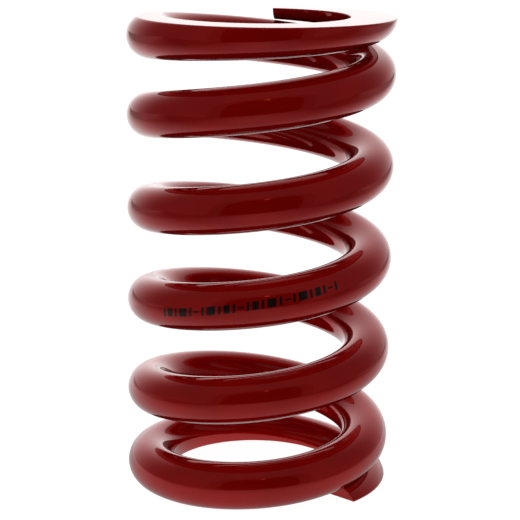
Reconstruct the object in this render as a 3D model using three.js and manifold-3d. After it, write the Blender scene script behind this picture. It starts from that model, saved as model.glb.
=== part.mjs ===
// Helical compression spring for a coil-over damper, in millimetres, +Z up.
// It is one bar of round spring steel, wound right-handed, with both ends closed and ground flat. The
// bar is divided into short arc sections: those of the two closed end coils stay with their seats, and
// those between them close up together as the spring is loaded. The origin is on the axis, in the
// plane of the bottom seat.
import * as THREE from "three";
import { mergeVertices } from "three/addons/utils/BufferGeometryUtils.js";
import Module from "manifold-3d";

// Driving dimensions of the spring.
const FREE_LENGTH = 150; // seat to seat, unloaded
const WIRE_DIAMETER = 14.6; // over the coating
const COIL_RADIUS = 35.05; // from the axis to the middle of the wire
const TURNS = 6.347; // tip to tip
const BOTTOM_TIP_ANGLE = THREE.MathUtils.degToRad(-42); // about +Z from +X
const TIP_CLEARANCE = 0.3; // between a tip and the coil that it closes on

// Each end coil, with places in turns from its own tip. "sunk" is how far past the seat's plane the
// middle of the wire would end, were the tip not ground away.
const BOTTOM_END = { sunk: 3.6, closedTo: 0.58, openFrom: 1.25 };
const TOP_END = { sunk: 3.2, closedTo: 0.15, openFrom: 1.69 };

// How the bar is divided.
const END_COIL_SECTIONS = 8; // in the one dead turn at each end
const WORKING_COILS = 5;
const SECTIONS_PER_COIL = 7;
const SECTION_GAP = 0.3; // measured along the wire

// How fine the facets are.
const WIRE_SIDES = 16;
const STEPS_PER_SECTION = 4;
const CUTTER_SIZE = 40; // longer than any section

const FULL_TURN = 2 * Math.PI;
const wireRadius = WIRE_DIAMETER / 2;
// Flat sides at the true radius keep the faceted wire from being thinner than the round one.
const cornerRadius = wireRadius / Math.cos(Math.PI / WIRE_SIDES);

const redCoating = new THREE.MeshStandardMaterial({
  color: 0x780b0d,
  roughness: 0.2,
  metalness: 0.0,
});

// Turns wound at the working pitch within so many turns of a tip. The pitch opens by a smooth step
// between the closed coil and the working coils.
function openTurns(turnsFromTip, end) {
  const ramp = end.openFrom - end.closedTo;
  const u = THREE.MathUtils.clamp((turnsFromTip - end.closedTo) / ramp, 0, 1);
  return ramp * (u ** 3 - u ** 4 / 2) + Math.max(turnsFromTip - end.openFrom, 0);
}

// The pitches follow from the free length and from each tip closing on the coil beside it.
function solvePitches() {
  const closingRise = WIRE_DIAMETER + TIP_CLEARANCE;
  const ends = [BOTTOM_END, TOP_END].map((end) => ({
    open: openTurns(1, end),
    closed: (end.closedTo + end.openFrom) / 2,
  }));
  const rise = FREE_LENGTH + BOTTOM_END.sunk + TOP_END.sunk;
  let turns = TURNS;
  let constant = rise;
  for (const { open, closed } of ends) {
    turns -= closed / (1 - open);
    constant -= (closingRise * closed) / (1 - open);
  }
  const working = constant / turns;
  const [bottom, top] = ends.map(({ open }) => (closingRise - working * open) / (1 - open));
  return { working, bottom, top };
}
const pitch = solvePitches();

// Height of the middle of the wire, and its angle about the axis, at a number of turns from the
// bottom tip.
function wireHeight(turn) {
  if (turn < TURNS / 2) {
    const open = openTurns(turn, BOTTOM_END);
    return pitch.bottom * (turn - open) + pitch.working * open - BOTTOM_END.sunk;
  }
  const fromTop = TURNS - turn;
  const open = openTurns(fromTop, TOP_END);
  return FREE_LENGTH + TOP_END.sunk - pitch.top * (fromTop - open) - pitch.working * open;
}

function wireAngle(turn) {
  return BOTTOM_TIP_ANGLE + FULL_TURN * turn;
}

// The middle of the wire from one turn value to another, seen from the section's own middle.
class SectionCentreline extends THREE.Curve {
  constructor(from, to) {
    super();
    this.from = from;
    this.to = to;
    this.middle = (from + to) / 2;
    // The chords lie outside the true circle, so that no facet falls inside it.
    const halfStep = ((to - from) * Math.PI) / STEPS_PER_SECTION;
    this.radius = COIL_RADIUS / Math.cos(halfStep);
  }

  turnAt(t) {
    return THREE.MathUtils.lerp(this.from, this.to, t);
  }

  getPoint(t, target = new THREE.Vector3()) {
    const turn = this.turnAt(t);
    const angle = FULL_TURN * (turn - this.middle);
    const height = wireHeight(turn) - wireHeight(this.middle);
    return target.set(this.radius * Math.cos(angle), this.radius * Math.sin(angle), height);
  }

  // Every ring of the sweep stands in an upright plane through the axis, so that two sections
  // meet in such a plane. It cuts the sloping wire in a slightly tall ellipse.
  computeFrenetFrames(segments) {
    const tangents = [];
    const normals = [];
    const binormals = [];
    const reach = (this.to - this.from) / segments / 2;
    for (let i = 0; i <= segments; i++) {
      const turn = this.turnAt(i / segments);
      const angle = FULL_TURN * (turn - this.middle);
      const slope = (wireHeight(turn + reach) - wireHeight(turn - reach)) / (2 * reach);
      const tallness = Math.hypot(1, slope / (FULL_TURN * COIL_RADIUS));
      tangents.push(new THREE.Vector3(-Math.sin(angle), Math.cos(angle), 0));
      normals.push(new THREE.Vector3(Math.cos(angle), Math.sin(angle), 0));
      binormals.push(new THREE.Vector3(0, 0, -tallness));
    }
    return { tangents, normals, binormals };
  }
}

// The wire's outline, with flats facing up, down, in and out.
function wireOutline() {
  const corners = [];
  for (let i = 0; i < WIRE_SIDES; i++) {
    const angle = (FULL_TURN * (i + 0.5)) / WIRE_SIDES;
    corners.push(new THREE.Vector2(Math.cos(angle), Math.sin(angle)).multiplyScalar(cornerRadius));
  }
  return new THREE.Shape(corners);
}
const outline = wireOutline();

const wasm = await Module();
wasm.setup();

function toSolid(geometry) {
  const bare = geometry.clone();
  bare.deleteAttribute("normal");
  bare.deleteAttribute("uv");
  const merged = mergeVertices(bare, 1e-4);
  const vertProperties = new Float32Array(merged.attributes.position.array);
  const triVerts = new Uint32Array(merged.index.array);
  return new wasm.Manifold(new wasm.Mesh({ numProp: 3, vertProperties, triVerts }));
}

function toGeometry(solid) {
  const mesh = solid.getMesh();
  const geometry = new THREE.BufferGeometry();
  geometry.setAttribute("position", new THREE.BufferAttribute(mesh.vertProperties, 3));
  geometry.setIndex(new THREE.BufferAttribute(mesh.triVerts, 1));
  geometry.computeVertexNormals();
  return geometry;
}

// A block that takes away what lies past a seat's plane. side is -1 below the plane, +1 above it.
function grindingBlock(planeHeight, side) {
  const block = new THREE.BoxGeometry(CUTTER_SIZE, CUTTER_SIZE, CUTTER_SIZE);
  block.translate(COIL_RADIUS, 0, planeHeight + (side * CUTTER_SIZE) / 2);
  return toSolid(block);
}

// One section of the bar between two turn values, with half the gap left free at each end that has
// a neighbour.
function wireSection(name, from, to) {
  const halfGap = SECTION_GAP / 2 / (FULL_TURN * COIL_RADIUS);
  const start = from > 0 ? from + halfGap : from;
  const end = to < TURNS ? to - halfGap : to;
  const centreline = new SectionCentreline(start, end);
  const sweep = { steps: STEPS_PER_SECTION, extrudePath: centreline };
  let geometry = new THREE.ExtrudeGeometry(outline, sweep);

  const middleHeight = wireHeight(centreline.middle);
  const lowest = wireHeight(start) - cornerRadius;
  const highest = wireHeight(end) + cornerRadius;
  if (lowest < 0) {
    geometry = toGeometry(toSolid(geometry).subtract(grindingBlock(-middleHeight, -1)));
  }
  if (highest > FREE_LENGTH) {
    const seat = FREE_LENGTH - middleHeight;
    geometry = toGeometry(toSolid(geometry).subtract(grindingBlock(seat, 1)));
  }

  const mesh = new THREE.Mesh(geometry, redCoating.clone());
  mesh.name = name;
  mesh.rotation.z = wireAngle(centreline.middle);
  mesh.position.z = middleHeight;
  return mesh;
}

// A run of equal sections as one group.
function coil(prefix, from, to, count) {
  const group = new THREE.Group();
  for (let i = 0; i < count; i++) {
    const start = THREE.MathUtils.lerp(from, to, i / count);
    const end = THREE.MathUtils.lerp(from, to, (i + 1) / count);
    group.add(wireSection(`${prefix}_section_${i + 1}`, start, end));
  }
  return group;
}

const spring = new THREE.Group();
spring.add(coil("bottom_end_coil", 0, 1, END_COIL_SECTIONS));
const turnsPerCoil = (TURNS - 2) / WORKING_COILS;
for (let i = 0; i < WORKING_COILS; i++) {
  const from = 1 + i * turnsPerCoil;
  spring.add(coil(`working_coil_${i + 1}`, from, from + turnsPerCoil, SECTIONS_PER_COIL));
}
spring.add(coil("top_end_coil", TURNS - 1, TURNS, END_COIL_SECTIONS));

export default spring;
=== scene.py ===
import math

import bpy
import numpy as np
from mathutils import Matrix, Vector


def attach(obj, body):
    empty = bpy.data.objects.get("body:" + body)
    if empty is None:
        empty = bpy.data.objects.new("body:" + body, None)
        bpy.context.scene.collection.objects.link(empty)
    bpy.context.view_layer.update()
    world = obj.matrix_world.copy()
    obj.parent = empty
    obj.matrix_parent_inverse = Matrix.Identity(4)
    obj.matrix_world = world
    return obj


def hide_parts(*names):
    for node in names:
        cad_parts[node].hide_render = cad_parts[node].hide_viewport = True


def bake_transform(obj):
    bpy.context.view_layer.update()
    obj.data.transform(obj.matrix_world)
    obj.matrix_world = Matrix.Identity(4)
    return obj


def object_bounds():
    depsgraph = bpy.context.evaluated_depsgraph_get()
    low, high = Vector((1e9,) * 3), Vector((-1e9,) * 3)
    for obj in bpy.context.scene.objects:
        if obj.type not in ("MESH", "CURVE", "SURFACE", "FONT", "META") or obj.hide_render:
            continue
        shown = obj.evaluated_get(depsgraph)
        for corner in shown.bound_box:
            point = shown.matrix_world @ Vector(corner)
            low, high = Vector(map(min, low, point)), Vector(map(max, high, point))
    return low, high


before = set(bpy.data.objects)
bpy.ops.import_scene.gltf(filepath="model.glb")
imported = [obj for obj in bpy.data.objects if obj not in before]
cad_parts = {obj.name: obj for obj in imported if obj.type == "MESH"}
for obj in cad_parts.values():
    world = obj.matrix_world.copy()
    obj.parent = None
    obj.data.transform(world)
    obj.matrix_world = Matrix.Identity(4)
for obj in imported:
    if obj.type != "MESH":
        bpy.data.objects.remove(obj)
cad_box = [list(corner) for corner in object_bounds()]


# ---- Camera ------------------------------------------------------------------------------------
# A long lens half a metre away, a little above the top of the spring and looking slightly down on
# it: the top seat is seen at a grazing angle and the lower coils open into ellipses.
CAMERA_DISTANCE = 0.5036
CAMERA_HEIGHT = 0.1927
AIM_HEIGHT = 0.0840
CAMERA_ROLL = 0.0107
SENSOR_MM = 36.0
LENS_MM = 111.2
FRAME_SHIFT = (0.0007, -0.0731)

bpy.ops.object.camera_add(location=(0, -CAMERA_DISTANCE, CAMERA_HEIGHT))
camera = bpy.context.object
camera.name = "camera"
look_down = math.atan2(CAMERA_HEIGHT - AIM_HEIGHT, CAMERA_DISTANCE)
camera.rotation_euler = (math.pi / 2 - look_down, 0, 0)
camera.rotation_euler.rotate_axis("Z", CAMERA_ROLL)
camera.data.sensor_width = SENSOR_MM
camera.data.lens = LENS_MM
camera.data.shift_x, camera.data.shift_y = FRAME_SHIFT
bpy.context.scene.camera = camera
bpy.context.scene.view_settings.view_transform = "Standard"


# ---- Studio ------------------------------------------------------------------------------------
# A white table with a bright sweep behind it. The light comes from the back and from the table, and
# the room in front of the table is dim, so the gloss coat shows a dark middle between pale edges.
FLOOR_SIZE = 8.0
FLOOR_DROP = 0.0002  # keeps the table just clear of the ground seat
FLOOR_GLOW = 0.97
FLOOR_GREY = 0.30


def new_stage_plane(name, size, location):
    bpy.ops.object.select_all(action="DESELECT")
    bpy.ops.mesh.primitive_plane_add(size=size, location=location)
    plane = bpy.context.object
    plane.name = name
    return plane


def new_material(name):
    material = bpy.data.materials.new(name)
    material.use_nodes = True
    return material, material.node_tree


def new_node(tree, kind, inputs, **settings):
    """A node with its settings, and for each input a value or the socket that feeds it."""
    node = tree.nodes.new("ShaderNode" + kind)
    for name, value in settings.items():
        setattr(node, name, value)
    for name, value in inputs.items():
        if isinstance(value, bpy.types.NodeSocket):
            tree.links.new(value, node.inputs[name])
        else:
            node.inputs[name].default_value = value
    return node


def calculate(tree, operation, *values, clamp=False):
    inputs = dict(enumerate(values))
    return new_node(tree, "Math", inputs, operation=operation, use_clamp=clamp).outputs["Value"]


def map_range(tree, value, from_min, from_max, to_min, to_max):
    inputs = {"Value": value, "From Min": from_min, "From Max": from_max}
    inputs.update({"To Min": to_min, "To Max": to_max})
    return new_node(tree, "MapRange", inputs).outputs["Result"]


def new_glow(name, colour=(1, 1, 1, 1), strength=1.0):
    material, tree = new_material(name)
    tree.nodes.remove(tree.nodes["Principled BSDF"])
    emission = new_node(tree, "Emission", {"Color": colour, "Strength": strength})
    tree.links.new(emission.outputs["Emission"], tree.nodes["Material Output"].inputs["Surface"])
    return material, tree, emission


floor = new_stage_plane("floor", FLOOR_SIZE, (0, 0, -FLOOR_DROP))
floor.visible_glossy = False
floor.visible_diffuse = False
paper, tree = new_material("white_paper")
surface = tree.nodes["Principled BSDF"]
surface.inputs["Base Color"].default_value = (FLOOR_GREY, FLOOR_GREY, FLOOR_GREY, 1)
surface.inputs["Roughness"].default_value = 1.0
surface.inputs["Specular IOR Level"].default_value = 0.0
surface.inputs["Emission Color"].default_value = (1, 1, 1, 1)
surface.inputs["Emission Strength"].default_value = FLOOR_GLOW
floor.data.materials.append(paper)

# The table as the spring sees it: grey in front, where little light reaches it, white behind, and
# dimmer towards its sides.
BOUNCE_FRONT = 0.35
BOUNCE_FRONT_Y = -0.09
BOUNCE_BACK = 1.2
BOUNCE_BACK_Y = 0.16
TABLE_EDGE_Y = -0.31
TABLE_BRIGHT_X = 0.08
TABLE_DIM_X = 0.30
TABLE_SIDE_GLOW = 0.28  # what is left of it at the sides
TABLE_WIDENING = 0.45  # how fast the bright part widens towards the back
bounce_middle = (0, TABLE_EDGE_Y + FLOOR_SIZE / 2, -2 * FLOOR_DROP)
bounce = new_stage_plane("table_bounce", FLOOR_SIZE, bounce_middle)
bpy.ops.object.transform_apply(location=True)
bounce.visible_camera = False
bounce.visible_shadow = False
glow, tree, emission = new_glow("table_glow")
place = new_node(tree, "TexCoord", {}).outputs["Object"]
split = new_node(tree, "SeparateXYZ", {"Vector": place})
aside = calculate(tree, "ABSOLUTE", split.outputs["X"])
aside = calculate(tree, "MULTIPLY_ADD", split.outputs["Y"], -TABLE_WIDENING, aside)
back = split.outputs["Y"]
depth_glow = map_range(tree, back, BOUNCE_FRONT_Y, BOUNCE_BACK_Y, BOUNCE_FRONT, BOUNCE_BACK)
side_glow = map_range(tree, aside, TABLE_BRIGHT_X, TABLE_DIM_X, 1.0, TABLE_SIDE_GLOW)
tree.links.new(calculate(tree, "MULTIPLY", depth_glow, side_glow), emission.inputs["Strength"])
bounce.data.materials.append(glow)

# What the gloss coat mirrors in front: the dark opening that the table is seen through, with rounded
# upper corners, the dim frame round it, and a small warm lamp at the top of it.
OPENING_DISTANCE = 0.80
PANEL_STEP = 0.01  # from each of them to the one behind it
OPENING_FOOT = -0.60
OPENING_CORNER = 0.30
CORNER_SEGMENTS = 12
OPENING_HALF_WIDTH = 0.53
OPENING_TOP = 0.86
OPENING_GLOW = 0.01
SURROUND_HALF_WIDTH = 0.80
SURROUND_TOP = 1.05
SURROUND_GLOW = 0.10
LAMP_HEIGHT = 0.79
LAMP_SIZE = 0.06
LAMP_GLOW = 3.0
LAMP_COLOUR = (1, 0.35, 0.2, 1)


def new_front_panel(name, half_width, foot, top, corner, distance, material):
    """A panel that stands in front of the table, seen only in the spring's reflections."""
    panel = new_stage_plane(name, 1, (0, -distance, (top + foot) / 2))
    panel.rotation_euler = (math.pi / 2, 0, 0)
    panel.scale = (2 * half_width, top - foot, 1)
    bpy.ops.object.transform_apply(location=True, rotation=True, scale=True)
    bpy.ops.object.mode_set(mode="EDIT")
    bpy.ops.mesh.select_all(action="SELECT")
    bpy.ops.mesh.bevel(offset=corner, segments=CORNER_SEGMENTS, affect="VERTICES")
    bpy.ops.object.mode_set(mode="OBJECT")
    panel.visible_camera = False
    panel.visible_diffuse = False
    panel.visible_shadow = False
    panel.data.materials.append(material)


grey = (SURROUND_GLOW, SURROUND_GLOW, SURROUND_GLOW, 1)
new_front_panel("surround", SURROUND_HALF_WIDTH, OPENING_FOOT, SURROUND_TOP, OPENING_CORNER,
                OPENING_DISTANCE + 2 * PANEL_STEP, new_glow("dim_wall", grey)[0])
grey = (OPENING_GLOW, OPENING_GLOW, OPENING_GLOW, 1)
new_front_panel("dark_opening", OPENING_HALF_WIDTH, OPENING_FOOT, OPENING_TOP, OPENING_CORNER,
                OPENING_DISTANCE + PANEL_STEP, new_glow("dark_room", grey)[0])
new_front_panel("lamp", LAMP_SIZE / 2, LAMP_HEIGHT - LAMP_SIZE / 2, LAMP_HEIGHT + LAMP_SIZE / 2,
                LAMP_SIZE / 3, OPENING_DISTANCE, new_glow("warm_lamp", LAMP_COLOUR, LAMP_GLOW)[0])

# The room's own light, by direction: dim in front and overhead, bright towards the back. The matt
# side of every surface gets an even fill instead, stronger from the front.
ROOM_LIGHT = 0.15
SWEEP_LIGHT = 1.5
SWEEP_POWER = 3.0  # how closely the bright part gathers at the back
FILL_FRONT = 0.42
FILL_BACK = 0.20
SECOND_BOUNCE = 0.2  # what reaches a coil by way of another one, which keeps the inside dark
SECOND_BOUNCE_DEPTH = 2.5  # between the ray depths of a first and a second bounce
world = bpy.data.worlds.new("studio")
world.use_nodes = True
bpy.context.scene.world = world
tree = world.node_tree
direction = new_node(tree, "TexCoord", {}).outputs["Generated"]
backward = new_node(tree, "SeparateXYZ", {"Vector": direction}).outputs["Y"]
sweep = calculate(tree, "POWER", calculate(tree, "MAXIMUM", backward, 0.0), SWEEP_POWER)
sweep = map_range(tree, sweep, 0.0, 1.0, ROOM_LIGHT, SWEEP_LIGHT)
path = new_node(tree, "LightPath", {})
mirrored = calculate(tree, "MAXIMUM", sweep, path.outputs["Is Camera Ray"])
fill = map_range(tree, backward, -1.0, 1.0, FILL_FRONT, FILL_BACK)
strength = new_node(tree, "Mix", {0: path.outputs["Is Diffuse Ray"], 2: mirrored, 3: fill}).outputs[0]
twice = calculate(tree, "GREATER_THAN", path.outputs["Ray Depth"], SECOND_BOUNCE_DEPTH)
kept = map_range(tree, twice, 0.0, 1.0, 1.0, SECOND_BOUNCE)
strength = calculate(tree, "MULTIPLY", strength, kept)
tree.links.new(strength, tree.nodes["Background"].inputs["Strength"])
tree.nodes["Background"].inputs["Color"].default_value = (1, 1, 1, 1)


# ---- The bar -----------------------------------------------------------------------------------
# One length of round spring steel, wound into a right-hand helix with a closed turn at each end,
# and ground flat where it seats. Each coil of it is one piece, closed at its ends, and the end coils
# are each attached to a body of their own.
FREE_LENGTH = cad_box[1][2] - cad_box[0][2]
COIL_RADIUS = 0.03505
WIRE_RADIUS = 0.0073
TURNS = 6.347
TIP_ANGLE = math.radians(-42)
TIP_CLEARANCE = 0.0003
BOTTOM_END = {"sunk": 0.0036, "closed_to": 0.58, "open_from": 1.25}
TOP_END = {"sunk": 0.0032, "closed_to": 0.15, "open_from": 1.69}
END_COIL = 1.0
WORKING_COILS = 5
STROKE_RAMP = 0.4  # turns over which the first and last of the stroke are taken up smoothly
SLOPE_STEP = 1e-4  # in turns, for measuring how steeply the wire rises
MERGE_DISTANCE = 1e-6
RINGS_PER_TURN = 180
SIDES = 128
SHARP_RIM = 0.00025  # radius on the rim of a ground seat where the edge is acute, near a tip
BLUNT_RIM = 0.0011  # and where the wire runs out of the seat
TIP_ROUND = 0.0002  # radius on the edge of the cut-off ends
TIP_RINGS = 5


def open_turns(turns_from_tip, end):
    """Turns wound at the working pitch within so many turns of a tip; the pitch opens smoothly."""
    ramp = end["open_from"] - end["closed_to"]
    u = np.clip((turns_from_tip - end["closed_to"]) / ramp, 0, 1)
    return ramp * (u**3 - u**4 / 2) + np.maximum(turns_from_tip - end["open_from"], 0)


def solve_pitches():
    """The pitches that give the free length with each tip closed on the coil beside it."""
    closing_rise = 2 * WIRE_RADIUS + TIP_CLEARANCE
    turns = TURNS
    rise = FREE_LENGTH + BOTTOM_END["sunk"] + TOP_END["sunk"]
    opened = []
    for end in (BOTTOM_END, TOP_END):
        open_part = open_turns(1.0, end)
        closed_part = (end["closed_to"] + end["open_from"]) / 2
        turns -= closed_part / (1 - open_part)
        rise -= closing_rise * closed_part / (1 - open_part)
        opened.append(open_part)
    working = rise / turns
    bottom, top = [(closing_rise - working * part) / (1 - part) for part in opened]
    return working, bottom, top


WORKING_PITCH, BOTTOM_PITCH, TOP_PITCH = solve_pitches()


def wire_height(turn):
    """Height of the middle of the wire, so many turns from the bottom tip."""
    opened = open_turns(turn, BOTTOM_END)
    from_bottom = BOTTOM_PITCH * (turn - opened) + WORKING_PITCH * opened - BOTTOM_END["sunk"]
    to_top = TURNS - turn
    opened = open_turns(to_top, TOP_END)
    from_top = TOP_PITCH * (to_top - opened) + WORKING_PITCH * opened - TOP_END["sunk"]
    return np.where(turn < TURNS / 2, from_bottom, FREE_LENGTH - from_top)


def ground_outline(share, depth, inset):
    """The wire's outline at shares of the way from its far side to the middle of the seat, where the
    seat's plane passes it at depth from its middle: an arc, a rounded rim and a flat. The points
    are evenly spaced. Returns how far each is across the wire and towards the seat."""
    radius = WIRE_RADIUS - inset
    depth = min(depth, WIRE_RADIUS - 1e-8)
    bluntness = min(max(depth / WIRE_RADIUS, 0), 1)
    rim = SHARP_RIM + (BLUNT_RIM - SHARP_RIM) * bluntness
    rim = max(rim - inset, rim / 10)
    depth -= inset
    flat = math.sqrt((radius - rim) ** 2 - (depth - rim) ** 2)
    rim_turn = math.atan2(flat, depth - rim)
    arc = radius * (math.pi - rim_turn)
    bend = rim * rim_turn
    length = arc + bend + flat
    place = share * length
    arc_turn = math.pi - place / radius
    bend_turn = rim_turn - (place - arc) / rim
    on_arc = place < arc
    on_bend = place < arc + bend
    across = np.where(on_bend, flat + rim * np.sin(bend_turn), length - place)
    towards = np.where(on_bend, depth - rim + rim * np.cos(bend_turn), depth)
    across = np.where(on_arc, radius * np.sin(arc_turn), across)
    towards = np.where(on_arc, radius * np.cos(arc_turn), towards)
    return across, towards, ~on_bend


def wire_ring(turn, inset, around):
    """One ring of points round the wire. around runs from -1 on its underside, up the inside to 0 on
    its top, and down the outside to 1."""
    middle = float(wire_height(turn))
    rise = float(wire_height(turn + SLOPE_STEP) - wire_height(turn - SLOPE_STEP)) / (2 * SLOPE_STEP)
    tallness = math.hypot(1, rise / (2 * math.pi * COIL_RADIUS))  # a sloping wire's upright section
    if turn < TURNS / 2:
        share, up, depth = np.abs(around), -1, middle
    else:
        share, up, depth = 1 - np.abs(around), 1, FREE_LENGTH - middle
    across, towards, flat = ground_outline(share, depth / tallness, inset)
    radius = COIL_RADIUS + np.sign(around) * across
    angle = TIP_ANGLE + 2 * math.pi * turn
    height = middle + up * towards * tallness
    points = np.stack([radius * math.cos(angle), radius * math.sin(angle), height], axis=1)
    return points, flat & (depth < WIRE_RADIUS)


def share_of_stroke(turn):
    """The part of the spring's compression that has been taken up below this point of the wire: the
    closed end coils move as one with their seats, and the coils between them share the stroke."""
    first = END_COIL
    last = TURNS - END_COIL
    total = (last - first) - STROKE_RAMP

    def taken(turns):
        u = np.clip(turns / STROKE_RAMP, 0, 1)
        return STROKE_RAMP * (u**3 - u**4 / 2) + np.maximum(turns - STROKE_RAMP, 0)

    below = taken(turn - first) / total
    above = 1 - taken(last - turn) / total
    return np.clip(np.where(turn < TURNS / 2, below, above), 0, 1)


def follow_compression(piece, turn):
    """Lays the bar out straight, each vertex at the place where a smooth step gives exactly its share
    of the stroke, bakes the piece's transform, and then puts the wound shape back."""
    wound = np.empty(len(piece.data.vertices) * 3)
    piece.data.vertices.foreach_get("co", wound)
    straight = np.zeros((len(piece.data.vertices), 3))
    straight[:, 0] = 0.5 - np.sin(np.arcsin(1 - 2 * share_of_stroke(turn)) / 3)
    piece.data.vertices.foreach_set("co", straight.ravel())
    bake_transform(piece)
    piece.data.vertices.foreach_set("co", wound)
    piece.data.update()


def add_attribute(mesh, name, kind, values):
    attribute = mesh.attributes.new(name, kind, "POINT")
    field = "vector" if kind == "FLOAT_VECTOR" else "value"
    attribute.data.foreach_set(field, np.asarray(values, np.float32).ravel())


def read_attribute(mesh, name, width):
    values = np.empty(len(mesh.vertices) * width, np.float32)
    mesh.attributes[name].data.foreach_get("vector" if width == 3 else "value", values)
    return values.reshape(-1, width) if width == 3 else values


# No single spin or screw gives a pitch that opens along the bar, so a sheet of faces as long as a
# coil's share of it is rolled into a rod, wound and ground by formula.
def wind_coil(name, first, last):
    """The stretch of bar between two numbers of turns from the bottom tip, as a closed piece."""
    count = round((last - first) * RINGS_PER_TURN)
    turns = np.linspace(first, last, count + 1)
    insets = np.zeros(count + 1)
    tip_bend = np.linspace(math.pi / 2, 0, TIP_RINGS)
    tip_turns = TIP_ROUND * (1 - np.sin(tip_bend)) / (2 * math.pi * COIL_RADIUS)
    tip_insets = TIP_ROUND * (1 - np.cos(tip_bend))
    if first == 0:
        turns[:TIP_RINGS] = tip_turns
        insets[:TIP_RINGS] = tip_insets
        turns[TIP_RINGS:] = np.linspace(tip_turns[-1], last, count + 2 - TIP_RINGS)[1:]
    if last == TURNS:
        turns[-TIP_RINGS:] = TURNS - tip_turns[::-1]
        insets[-TIP_RINGS:] = tip_insets[::-1]
        turns[:-TIP_RINGS] = np.linspace(first, turns[-TIP_RINGS], count + 2 - TIP_RINGS)[:-1]

    bpy.ops.object.select_all(action="DESELECT")
    bpy.ops.mesh.primitive_grid_add(x_subdivisions=count, y_subdivisions=SIDES, size=1)
    piece = bpy.context.object
    piece.name = name
    piece.data.name = name
    sheet = np.empty(len(piece.data.vertices) * 3)
    piece.data.vertices.foreach_get("co", sheet)
    sheet = sheet.reshape(-1, 3)
    ring = np.rint((sheet[:, 0] + 0.5) * count).astype(int)
    side = np.rint((0.5 - sheet[:, 1]) * SIDES).astype(int)

    around = np.linspace(-1, 1, SIDES + 1)
    before, after = turns[0] - 1 / RINGS_PER_TURN, turns[-1] + 1 / RINGS_PER_TURN
    all_turns = np.concatenate([[before], turns, [after]])
    all_insets = np.concatenate([[insets[0]], insets, [insets[-1]]])
    rings = [wire_ring(turn, inset, around) for turn, inset in zip(all_turns, all_insets)]
    points = np.stack([points for points, flat in rings])
    flats = np.stack([flat for points, flat in rings])[1:-1]
    closed = np.concatenate([points[:, -2:-1], points, points[:, 1:2]], axis=1)
    along = closed[2:, 1:-1] - closed[:-2, 1:-1]
    across = closed[1:-1, 2:] - closed[1:-1, :-2]
    facing = np.cross(across, along)
    facing /= np.linalg.norm(facing, axis=2, keepdims=True)
    points = points[1:-1]

    piece.data.vertices.foreach_set("co", points[ring, side].ravel())
    turn_here = turns[ring]
    bend = math.pi * around[side]
    stock = np.stack(
        [
            turn_here * 2 * math.pi * COIL_RADIUS,
            WIRE_RADIUS * np.sin(bend),
            WIRE_RADIUS * np.cos(bend),
        ],
        axis=1,
    )
    add_attribute(piece.data, "stock", "FLOAT_VECTOR", stock)
    add_attribute(piece.data, "turn", "FLOAT", turn_here)
    add_attribute(piece.data, "ground", "FLOAT", flats[ring, side])
    add_attribute(piece.data, "facing", "FLOAT_VECTOR", facing[ring, side])

    bpy.ops.object.mode_set(mode="EDIT")
    bpy.ops.mesh.select_all(action="SELECT")
    bpy.ops.mesh.remove_doubles(threshold=MERGE_DISTANCE)
    bpy.ops.mesh.select_all(action="SELECT")
    bpy.ops.mesh.fill_holes(sides=0)
    bpy.ops.object.mode_set(mode="OBJECT")

    bpy.ops.object.shade_smooth()
    facing = read_attribute(piece.data, "facing", 3)
    corners = np.empty((len(piece.data.loops), 3), np.float32)
    for face in piece.data.polygons:
        if len(face.vertices) > 4:
            corners[list(face.loop_indices)] = face.normal
        else:
            corners[list(face.loop_indices)] = facing[list(face.vertices)]
    piece.data.normals_split_custom_set(corners.tolist())
    piece.data.attributes.remove(piece.data.attributes["facing"])
    return piece


bottom_end = wind_coil("bottom_closed_coil", 0, END_COIL)
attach(bottom_end, "bottom_end_coil")
top_end = wind_coil("top_closed_coil", TURNS - END_COIL, TURNS)
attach(top_end, "top_end_coil")
coil_turns = (TURNS - 2 * END_COIL) / WORKING_COILS
working = []
for number in range(WORKING_COILS):
    start = END_COIL + number * coil_turns
    coil = wind_coil(f"middle_coil_{number + 1}", start, start + coil_turns)
    follow_compression(coil, read_attribute(coil.data, "turn", 1))
    working.append(coil)
coils = [bottom_end, *working, top_end]
middle_nodes = [f"working_coil_{number + 1}_" for number in range(WORKING_COILS)]
stands_for = ["bottom_end_coil_", *middle_nodes, "top_end_coil_"]
for coil, start in zip(coils, stands_for):
    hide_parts(*[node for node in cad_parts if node.startswith(start)])


# ---- Red coating -------------------------------------------------------------------------------
# A hard gloss finish put on all over after grinding: a clear red layer over a bright base, with a
# little orange peel, dust nibs under it, hairlines and nicks from handling, and a thinner film on the
# sharp rims of the ground seats, through which the grinding lines just show.
RED = (0.56, 0.003, 0.0008, 1)
DEEP_RED = (0.48, 0.0022, 0.0006, 1)  # where the film is thick
NICK_RED = (0.62, 0.10, 0.07, 1)  # where the film is scuffed
RIM_RED = (0.27, 0.004, 0.002, 1)  # where the film has drawn back from a sharp rim
EDGE_RED = (0.6, 0.02, 0.015, 1)  # seen at a grazing angle
CLOUD_SCALE = 70  # patches of thicker film, about 14 mm across
CLOUD_THICK = 0.65  # noise at which the film is thickest
CLOUD_THIN = 0.35
GRAIN_SCALE = 1500
GRAIN_SHARE = 0.5
PEEL_SCALE = 330  # orange peel, about 3 mm across
PEEL_HEIGHT = 4e-6
NIB_SCALE = 160  # dust nibs, one chance every 6 mm
NIB_SHARE = 0.10
NIB_SIZE = 0.06
NIB_HEIGHT = 14e-6
HAIRLINE_SCALE = (16, 520, 520)  # long along the bar and fine across it
HAIRLINE_WIDTH = 0.006
HAIRLINE_DEPTH = 2e-6
NICK_SCALE = (70, 240, 240)
NICK_SHARE = 0.07
NICK_SIZE = 0.09
NICK_DEPTH = 9e-6
WEAR_SCALE = 45  # patches that have been handled, about 22 mm across
WEAR_FULL = 0.55  # noise at which the hairlines are all there
WEAR_NONE = 0.45
ROUGHNESS = 0.14
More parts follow.
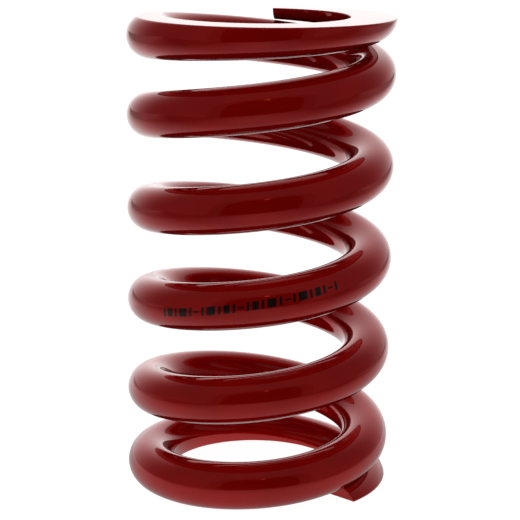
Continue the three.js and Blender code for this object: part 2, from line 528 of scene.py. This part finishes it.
CLOUD_ROUGHNESS = 0.12
HAIRLINE_ROUGHNESS = 0.3
LAY_SCALE = (45, 1800, 1)  # grinding lines across the seats
LAY_HEIGHT = 1.2e-6


def noise(tree, where, scale, detail=2.0):
    inputs = {"Vector": where, "Scale": scale, "Detail": detail}
    return new_node(tree, "TexNoise", inputs).outputs["Fac"]


def stretch(tree, where, scale):
    return new_node(tree, "Mapping", {"Vector": where, "Scale": scale}).outputs["Vector"]


def fade(tree, value, start, end):
    """1 at start and below it, falling to 0 at end."""
    return map_range(tree, value, start, end, 1.0, 0.0)


def scattered_spots(tree, where, scale, size, share):
    """Soft round spots in a random share of the cells."""
    cells = new_node(tree, "TexVoronoi", {"Vector": where, "Scale": scale, "Randomness": 1.0})
    pick = new_node(tree, "SeparateColor", {"Color": cells.outputs["Color"]}).outputs["Red"]
    chosen = calculate(tree, "LESS_THAN", pick, share)
    return calculate(tree, "MULTIPLY", fade(tree, cells.outputs["Distance"], size / 2, size), chosen)


def mix_colour(tree, share, first, second):
    node = new_node(tree, "Mix", {0: share, 6: first, 7: second}, data_type="RGBA")
    return node.outputs[2]


coating, tree = new_material("red_coating")
paint = tree.nodes["Principled BSDF"]
place = new_node(tree, "TexCoord", {}).outputs["Object"]
along = new_node(tree, "Attribute", {}, attribute_name="stock").outputs["Vector"]
seat = new_node(tree, "Attribute", {}, attribute_name="ground").outputs["Fac"]

cloud = noise(tree, place, CLOUD_SCALE, 3.0)
grain = noise(tree, place, GRAIN_SCALE, 1.0)
film = calculate(tree, "MULTIPLY_ADD", grain, GRAIN_SHARE, fade(tree, cloud, CLOUD_THICK, CLOUD_THIN))
film = calculate(tree, "SUBTRACT", film, GRAIN_SHARE / 2, clamp=True)
nibs = scattered_spots(tree, place, NIB_SCALE, NIB_SIZE, NIB_SHARE)
nicks = scattered_spots(tree, stretch(tree, along, NICK_SCALE), 1.0, NICK_SIZE, NICK_SHARE)
rim = calculate(tree, "PINGPONG", seat, 0.5)
colour = mix_colour(tree, film, RED, DEEP_RED)
colour = mix_colour(tree, rim, colour, RIM_RED)
colour = mix_colour(tree, nicks, colour, NICK_RED)
tree.links.new(colour, paint.inputs["Base Color"])

lines = noise(tree, stretch(tree, along, HAIRLINE_SCALE), 1.0, 1.0)
lines = calculate(tree, "ABSOLUTE", calculate(tree, "SUBTRACT", lines, 0.5))
worn = fade(tree, noise(tree, place, WEAR_SCALE), WEAR_FULL, WEAR_NONE)
hairlines = calculate(tree, "MULTIPLY", fade(tree, lines, 0.0, HAIRLINE_WIDTH), worn)
lay = noise(tree, stretch(tree, place, LAY_SCALE), 1.0, 3.0)
height = calculate(tree, "MULTIPLY", noise(tree, place, PEEL_SCALE, 1.5), PEEL_HEIGHT)
height = calculate(tree, "MULTIPLY_ADD", nibs, NIB_HEIGHT, height)
height = calculate(tree, "MULTIPLY_ADD", nicks, -NICK_DEPTH, height)
height = calculate(tree, "MULTIPLY_ADD", hairlines, -HAIRLINE_DEPTH, height)
height = calculate(tree, "MULTIPLY_ADD", calculate(tree, "MULTIPLY", lay, seat), LAY_HEIGHT, height)
relief = new_node(tree, "Bump", {"Height": height, "Distance": 1.0}).outputs["Normal"]
tree.links.new(relief, paint.inputs["Normal"])
tree.links.new(relief, paint.inputs["Coat Normal"])
roughness = calculate(tree, "MULTIPLY_ADD", hairlines, HAIRLINE_ROUGHNESS, ROUGHNESS)
roughness = calculate(tree, "MULTIPLY_ADD", cloud, CLOUD_ROUGHNESS, roughness)
tree.links.new(roughness, paint.inputs["Roughness"])
paint.inputs["Metallic"].default_value = 0.4
paint.inputs["Specular IOR Level"].default_value = 0.0
paint.inputs["Specular Tint"].default_value = EDGE_RED
paint.inputs["Coat Weight"].default_value = 1.0
paint.inputs["Coat Roughness"].default_value = 0.03
paint.inputs["Coat IOR"].default_value = 1.45
for coil in coils:
    coil.data.materials.append(coating)


# ---- Ink mark ----------------------------------------------------------------------------------
# The size code that is printed along the outside of the middle coil once the coating is hard, as a
# plain row of bars and dashes. The black ink is a thin skin on the coating.
MARK_START = 2.747  # in turns from the bottom tip
MARK_LENGTH = 0.0605
MARK_AROUND = (0.53, 0.355)  # where its middle lies round the wire at its two ends
BAR_HEIGHT = 0.0026
DASH_HEIGHT = 0.0006
BAR_WIDTHS = (0.0008, 0.0019, 0.0008, 0.0028)
DASH_WIDTH = 0.0016
MARK_GAP = 0.0009
BARS_IN_GROUP = 5
INK_RAISED = 0.000025
INK_THICKNESS = 0.000035
INK_STEP = 0.0004  # longest face along a bar
INK_ROWS = 6  # of faces across it
INK_SPECKLE_SCALE = 4500
INK_SPECKLE_LOW = 0.42  # noise at which the ink is full, and above which it thins
INK_SPECKLE_HIGH = 0.62
INK_BLOTCH_SCALE = 700
INK_BLOTCH_HEIGHT = 6e-6
INK_ROUGHNESS = 0.3
INK_FULL_ROUGHNESS = 0.2  # added where it is full
INK_BLACK = (0.010, 0.003, 0.003, 1)
INK_THIN = (0.035, 0.003, 0.002, 1)  # where the red shows through it


def print_bar(start, width, height):
    """One mark of ink, from so far along the row, as a small patch bent to the wire."""
    steps = max(2, round(width / INK_STEP))
    bpy.ops.object.select_all(action="DESELECT")
    bpy.ops.mesh.primitive_grid_add(x_subdivisions=steps, y_subdivisions=INK_ROWS, size=1)
    patch = bpy.context.object
    turns = []
    for vertex in patch.data.vertices:
        along_row = start + (vertex.co.x + 0.5) * width
        turn = MARK_START + along_row / (2 * math.pi * (COIL_RADIUS + WIRE_RADIUS))
        around = np.interp(along_row, (0, MARK_LENGTH), MARK_AROUND)
        around -= vertex.co.y * height / (math.pi * WIRE_RADIUS)
        vertex.co = wire_ring(turn, -INK_RAISED, np.array([around]))[0][0]
        turns.append(turn)
    add_attribute(patch.data, "turn", "FLOAT", turns)
    return patch


marks = []
reach = 0.0
while reach < MARK_LENGTH - max(BAR_WIDTHS):
    number = len(marks)
    is_dash = number % (BARS_IN_GROUP + 1) == BARS_IN_GROUP
    width = DASH_WIDTH if is_dash else BAR_WIDTHS[number % len(BAR_WIDTHS)]
    marks.append(print_bar(reach, width, DASH_HEIGHT if is_dash else BAR_HEIGHT))
    reach += width + MARK_GAP
for mark in marks:
    mark.select_set(True)
ink = marks[0]
bpy.context.view_layer.objects.active = ink
bpy.ops.object.join()
ink.name = "ink_mark"
ink.data.name = "ink_mark"
skin = ink.modifiers.new("skin", "SOLIDIFY")
skin.thickness = INK_THICKNESS
skin.offset = -1
bpy.ops.object.modifier_apply(modifier=skin.name)
bpy.ops.object.mode_set(mode="EDIT")
bpy.ops.mesh.select_all(action="SELECT")
bpy.ops.mesh.normals_make_consistent(inside=False)
bpy.ops.object.mode_set(mode="OBJECT")
bpy.ops.object.shade_smooth_by_angle(angle=math.radians(40))
follow_compression(ink, read_attribute(ink.data, "turn", 1))

black, tree = new_material("black_ink")
surface = tree.nodes["Principled BSDF"]
place = new_node(tree, "TexCoord", {}).outputs["Object"]
speckle = noise(tree, place, INK_SPECKLE_SCALE, 3.0)
full = fade(tree, speckle, INK_SPECKLE_LOW, INK_SPECKLE_HIGH)
tree.links.new(mix_colour(tree, full, INK_THIN, INK_BLACK), surface.inputs["Base Color"])
shine = calculate(tree, "MULTIPLY_ADD", full, INK_FULL_ROUGHNESS, INK_ROUGHNESS)
tree.links.new(shine, surface.inputs["Roughness"])
blotch = calculate(tree, "MULTIPLY", noise(tree, place, INK_BLOTCH_SCALE), INK_BLOTCH_HEIGHT)
relief = new_node(tree, "Bump", {"Height": blotch, "Distance": 1.0}).outputs["Normal"]
tree.links.new(relief, surface.inputs["Normal"])
surface.inputs["Specular IOR Level"].default_value = 0.2
surface.inputs["Coat Weight"].default_value = 0.6
surface.inputs["Coat Roughness"].default_value = 0.12
ink.data.materials.append(black)
